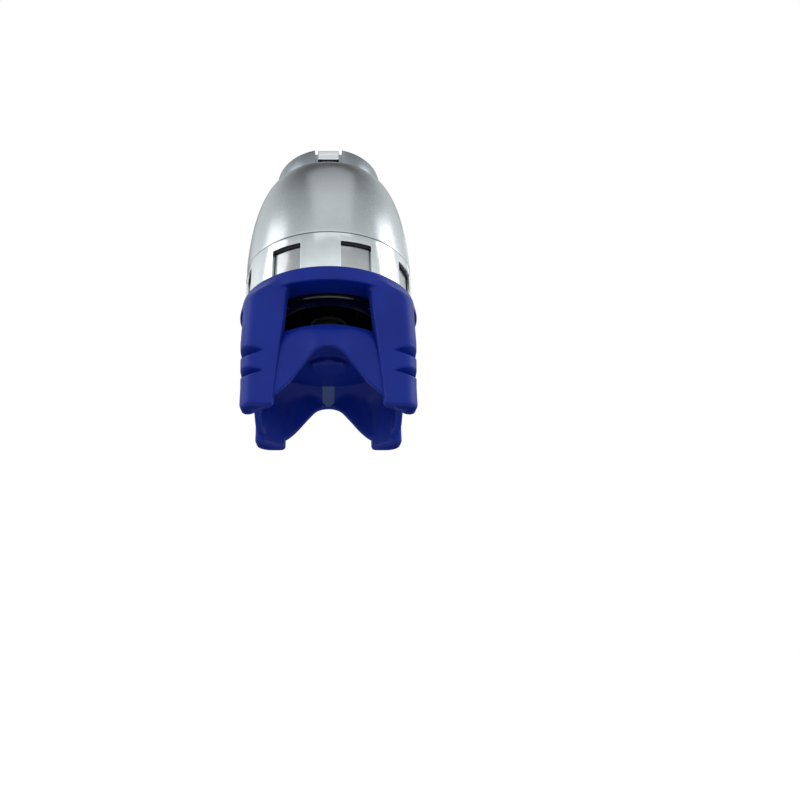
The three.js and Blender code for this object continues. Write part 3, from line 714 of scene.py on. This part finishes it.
# ============================================================ distance field to mesh
def net(field, lowest, highest, cell):
    """A surface net of a distance field: a point in each cell it crosses, pulled onto the surface."""
    counts = [int(math.ceil((b - a) / cell)) + 1 for a, b in zip(lowest, highest)]
    axes = [a + cell * np.arange(n) for a, n in zip(lowest, counts)]
    grid = np.meshgrid(*axes, indexing="ij")
    values = field(*grid)
    inside = values < 0
    corners = [(i, j, k) for i in (0, 1) for j in (0, 1) for k in (0, 1)]
    windows = [tuple(slice(o, n - 1 + o) for o, n in zip(c, counts)) for c in corners]
    total = sum(inside[window].astype(np.int8) for window in windows)
    active = np.argwhere((total > 0) & (total < 8))
    index = -np.ones([n - 1 for n in counts], int)
    index[tuple(active.T)] = np.arange(len(active))
    points = np.zeros((len(active), 3))
    hits = np.zeros(len(active))
    for a in corners:
        for axis in range(3):
            if a[axis]:
                continue
            b = tuple(v + (1 if n == axis else 0) for n, v in enumerate(a))
            va = values[tuple((active + a).T)]
            vb = values[tuple((active + b).T)]
            crossing = (va < 0) != (vb < 0)
            share = np.where(crossing, va / np.where(crossing, va - vb, 1), 0)
            place = active + np.array(a) + share[:, None] * np.eye(3)[axis]
            points += place * crossing[:, None]
            hits += crossing
    points = np.array(lowest) + cell * points / hits[:, None]
    start = points.copy()
    step = 0.02
    for _ in range(3):
        here = field(*points.T)
        rises = [field(*(points + step * e).T) - field(*(points - step * e).T) for e in np.eye(3)]
        slope = np.stack(rises, 1) / (2 * step)
        points = points - (here / np.maximum((slope ** 2).sum(1), 0.25))[:, None] * slope
        points = start + np.clip(points - start, -cell / 2, cell / 2)
    faces = []
    for axis in range(3):
        other = [n for n in range(3) if n != axis]
        a_slice = [slice(1, n - 1) for n in counts]
        a_slice[axis] = slice(0, counts[axis] - 1)
        b_slice = list(a_slice)
        b_slice[axis] = slice(1, counts[axis])
        first, second = inside[tuple(a_slice)], inside[tuple(b_slice)]
        places = np.argwhere(first != second)
        grows = first[tuple(places.T)]
        places = places + np.array([0 if n == axis else 1 for n in range(3)])
        ring = []
        for du, dv in ((0, 0), (-1, 0), (-1, -1), (0, -1)):
            cell_at = places.copy()
            cell_at[:, other[0]] += du
            cell_at[:, other[1]] += dv
            ring.append(index[tuple(cell_at.T)])
        quad = np.stack(ring, 1)
        flip = grows if axis != 1 else ~grows
        quad[~flip] = quad[~flip][:, ::-1]
        faces.append(quad)
    return points, np.concatenate(faces)


def net_mesh(name, field, lowest, highest, cell, flat_axes=()):
    """A closed mesh of a distance field, cut flat and capped at zero along the flat axes."""
    points, faces = net(field, lowest, highest, cell)
    work = bmesh.new()
    verts = [work.verts.new(p) for p in points]
    for face in faces:
        work.faces.new([verts[i] for i in face])
    for axis in flat_axes:
        for vert in work.verts:
            if abs(vert.co[axis]) < cell * 0.51:
                vert.co[axis] = 0.0
    bmesh.ops.holes_fill(work, edges=[e for e in work.edges if e.is_boundary], sides=0)
    loose = [v for v in work.verts if not v.link_faces]
    bmesh.ops.delete(work, geom=loose, context="VERTS")
    bmesh.ops.recalc_face_normals(work, faces=work.faces)
    mesh = bpy.data.meshes.new(name)
    work.to_mesh(mesh)
    work.free()
    return mesh


def mirrored(mesh, name, x=1, y=1):
    """A copy of a mesh, mirrored across the planes asked for, with its faces still pointing out."""
    copy = mesh.copy()
    copy.name = name
    copy.transform(Matrix.Diagonal((x, y, 1, 1)))
    if x * y < 0:
        copy.flip_normals()
    return copy


# ============================================================ moulded tool: pieces
CELL = 0.75


def make_fingers():
    """Four quarters of the ring, each with its finger."""
    half = CELL / 2
    lowest, highest = (-half, -half, TIP - 1.5), (55, 55, RING_TOP + 1.5)
    quarter = net_mesh("quarter", quarter_field, lowest, highest, CELL, (0, 1))
    signs = {"rear_right": (1, 1), "rear_left": (-1, 1), "front_left": (-1, -1), "front_right": (1, -1)}
    for name, (sx, sy) in signs.items():
        mesh = mirrored(quarter, f"tool_{name}", sx, sy)
        nodes = [f"finger_{name}", f"finger_root_{name}"]
        if name == "front_right":
            nodes.append("tool_ring")
        piece = finished(f"tool_{name}", mesh, "blue_silicone", None, *nodes)
        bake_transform(piece)


def make_webs():
    """Four webs, each in two halves."""
    fine = 0.8 * CELL
    side = net_mesh("web", web_field, (-fine / 2, 30, TIP + 2), (31.5, 54, -117), fine, (0,))
    for name, bearing in SIDES.items():
        facing = Matrix.Rotation(math.radians(bearing - 90), 4, "Z")
        for hand in (-1, 1):
            mesh = mirrored(side, f"web_{name}_{'a' if hand < 0 else 'b'}", hand, 1)
            mesh.transform(facing)
            nodes = [f"web_{name}"] if hand < 0 else []
            piece = finished(mesh.name, mesh, "blue_silicone", None, *nodes)
            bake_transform(piece)


def make_strips():
    """A strip down the middle of each web's inner face, paler as a painted sheen."""
    strip = net_mesh("strip", strip_field, (-4.9, 34, -139.5), (5.3, 50, -122.5), 0.4)
    for name, bearing in SIDES.items():
        copy = strip.copy()
        copy.transform(Matrix.Rotation(math.radians(bearing - 90), 4, "Z"))
        piece = finished(f"inner_strip_{name}", copy, "blue_silicone", "base")
        # The strip takes the paler silicone: painted sheen.
        piece.data.materials[0] = MATERIALS["silicone_painted_sheen"]


def membrane_mesh(name, bearing):
    """A quarter of the cup's roof, between the hub's disc and the webs."""
    across_steps, out_steps = 32, 14
    first, last = ROOF_R - 0.8, ROOF_EDGE_R
    top, bottom = ROOF_TOP - 0.2, ROOF_BOTTOM + 0.15
    points, faces = [], []
    for z_face in (top, bottom):
        for i in range(across_steps + 1):
            angle = math.radians(bearing - 45 + 90 * i / across_steps)
            for k in range(out_steps + 1):
                radius = first + (last - first) * k / out_steps
                points.append((radius * math.cos(angle), radius * math.sin(angle), z_face))
    row = out_steps + 1
    layer = row * (across_steps + 1)
    for i in range(across_steps):
        for k in range(out_steps):
            a = i * row + k
            quad = (a, a + row, a + row + 1, a + 1)
            faces.append(quad[::-1])
            faces.append(tuple(v + layer for v in quad))
    rim = [i * row for i in range(across_steps + 1)]
    outer = [i * row + out_steps for i in range(across_steps + 1)]
    for line in (rim, outer, list(range(row)), [across_steps * row + k for k in range(row)]):
        for a, b in zip(line, line[1:]):
            faces.append((a, b, b + layer, a + layer))
    mesh = mesh_of(name, points, faces)
    work = bmesh.new()
    work.from_mesh(mesh)
    bmesh.ops.recalc_face_normals(work, faces=work.faces)
    work.to_mesh(mesh)
    work.free()
    return mesh


def make_membrane():
    """The cup's roof in four parts, each stretched between its web and the hub."""
    for side, bearing in SIDES.items():
        nodes = ["cup_membrane"] if side == "front" else []
        name = f"cup_roof_{side}"
        piece = finished(name, membrane_mesh(name, bearing), "blue_silicone", None, *nodes)
        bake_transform(piece)


def make_lugs():
    """Lugs inside the ring that lock into the skirt's windows."""
    bore, back = INNER_SKIRT_R + GAP, 50
    bottom, top = SKIRT_BOTTOM + 0.1, RING_TOP - 2.2
    for i, bearing in enumerate(window_bearings()):
        band = turned_mesh("band", [(bore, bottom), (back, bottom), (back, top), (bore, top, 0.4)], ROUND)
        cut = wedge_mesh("wedge", bearing, LUG_ANGLE, SKIRT_BOTTOM - 1, RING_TOP + 1)
        name = f"locking_lug_{i + 1}"
        finished(name, combined(band, [cut], "INTERSECT"), "blue_silicone", "base")


# ============================================================ inner CAD nodes keep their shape
def dress_inner_nodes():
    """Gives each CAD node that is still shown its finish."""
    slots = {entry["node"]: entry["material_slot"] for entry in frame["record"]["subparts"]}
    for node, thing in frame["nodes"].items():
        if thing.hide_render:
            continue
        thing.data.materials.clear()
        thing.data.materials.append(MATERIALS[slots[node]])


# ============================================================ stage, light and camera (metres)
FLOOR_Z = -0.62
FLOOR_RADIUS = 4.0
LIGHT_AIM = (0, 0, -0.08)
CAMERA_PLACE = (0, -0.2990, -0.2553)
CAMERA_PITCH = 19.78  # degrees that the camera looks up
# brightness of the studio from front to rear, and from straight down to straight up
STUDIO_DEPTH = ((0.0, 1.06), (0.20, 0.86), (0.45, 0.84), (0.66, 1.12), (0.79, 1.02), (0.90, 0.05))
STUDIO_HEIGHT = ((0.0, 0.46), (0.36, 0.58), (0.50, 0.94), (0.72, 1.08), (0.90, 0.62), (0.98, 0.12))
STUDIO_TINT = (0.94, 0.985, 1.0)


def area_light(name, place, size, power):
    """A rectangular white light, aimed at the object."""
    data = bpy.data.lights.new(name, "AREA")
    data.shape = "RECTANGLE"
    data.size, data.size_y = size
    data.energy = power
    lamp = bpy.data.objects.new(name, data)
    bpy.context.collection.objects.link(lamp)
    lamp.location = place
    lamp.rotation_euler = (Vector(LIGHT_AIM) - Vector(place)).to_track_quat("-Z", "Y").to_euler()
    return lamp


def make_stage():
    """A plain white floor."""
    work = bmesh.new()
    bmesh.ops.create_circle(work, cap_ends=True, radius=FLOOR_RADIUS, segments=96)
    mesh = bpy.data.meshes.new("floor")
    work.to_mesh(mesh)
    work.free()
    floor = bpy.data.objects.new("floor", mesh)
    floor.location.z = FLOOR_Z
    bpy.context.collection.objects.link(floor)
    material, shader = new_material("floor", (0.92, 0.92, 0.92), 0.9)
    shader.inputs["Emission Color"].default_value = (1, 1, 1, 1)
    shader.inputs["Emission Strength"].default_value = 0.75
    mesh.materials.append(material)
    floor.visible_diffuse = False
    floor.visible_glossy = False


def studio_ramp(nodes, links, value, stops, tint):
    """A run of brightness along one axis of the world, from stops of (share of the way, level)."""
    spread = nodes.new("ShaderNodeMapRange")
    spread.inputs["From Min"].default_value = -1.0
    spread.inputs["From Max"].default_value = 1.0
    links.new(value, spread.inputs["Value"])
    ramp = nodes.new("ShaderNodeValToRGB")
    links.new(spread.outputs["Result"], ramp.inputs["Fac"])
    for position, _ in stops[2:]:
        ramp.color_ramp.elements.new(position)
    for element, (position, level) in zip(ramp.color_ramp.elements, stops):
        element.position = position
        element.color = (*(level * part for part in tint), 1)
    return ramp.outputs["Color"]


def make_world():
    """A white backdrop for the camera, and a studio that is darker overhead and behind for the light."""
    world = bpy.data.worlds.new("studio")
    world.use_nodes = True
    bpy.context.scene.world = world
    nodes, links = world.node_tree.nodes, world.node_tree.links
    place = nodes.new("ShaderNodeTexCoord")
    split = nodes.new("ShaderNodeSeparateXYZ")
    links.new(place.outputs["Generated"], split.inputs["Vector"])
    depth = studio_ramp(nodes, links, split.outputs["Y"], STUDIO_DEPTH, STUDIO_TINT)
    height = studio_ramp(nodes, links, split.outputs["Z"], STUDIO_HEIGHT, (1, 1, 1))
    studio = nodes["Background"]
    links.new(depth, studio.inputs["Color"])
    links.new(height, studio.inputs["Strength"])
    backdrop = nodes.new("ShaderNodeBackground")
    backdrop.inputs["Color"].default_value = (1, 1, 1, 1)
    path = nodes.new("ShaderNodeLightPath")
    mix = nodes.new("ShaderNodeMixShader")
    links.new(path.outputs["Is Camera Ray"], mix.inputs["Fac"])
    links.new(studio.outputs["Background"], mix.inputs[1])
    links.new(backdrop.outputs["Background"], mix.inputs[2])
    links.new(mix.outputs["Shader"], nodes["World Output"].inputs["Surface"])


def make_lights():
    """Soft boxes at both sides, above and behind, and a weak one from below. Sizes in metres."""
    area_light("left_softbox", (-0.80, -0.20, 0.05), (0.45, 1.1), 2.2)
    area_light("right_softbox", (0.80, -0.05, 0.05), (0.40, 1.1), 2.4)
    area_light("top_softbox", (0.05, -0.45, 0.80), (0.7, 0.7), 0.6)
    area_light("low_fill", (0.10, -0.55, -0.40), (0.5, 0.25), 0.35)
    area_light("rear_softbox", (0.10, 0.85, 0.25), (0.9, 0.7), 1.6)


def make_camera():
    """The camera, below the object and in front of it, looking up."""
    data = bpy.data.cameras.new("camera")
    data.sensor_width = 36.0
    data.lens = 25.44
    data.shift_x = 0.0894
    data.clip_start = 0.01
    camera = bpy.data.objects.new("camera", data)
    bpy.context.collection.objects.link(camera)
    camera.location = CAMERA_PLACE
    camera.rotation_euler = (math.radians(90 + CAMERA_PITCH), 0, 0)
    bpy.context.scene.camera = camera
    bpy.context.scene.view_settings.view_transform = "Standard"


make_camera()
make_collar()
make_collar_screws()
make_contacts()
make_dome()
make_skirt()
make_nose()
make_spindle()
make_fingers()
make_webs()
make_strips()
make_membrane()
make_lugs()
dress_inner_nodes()
make_stage()
make_world()
make_lights()
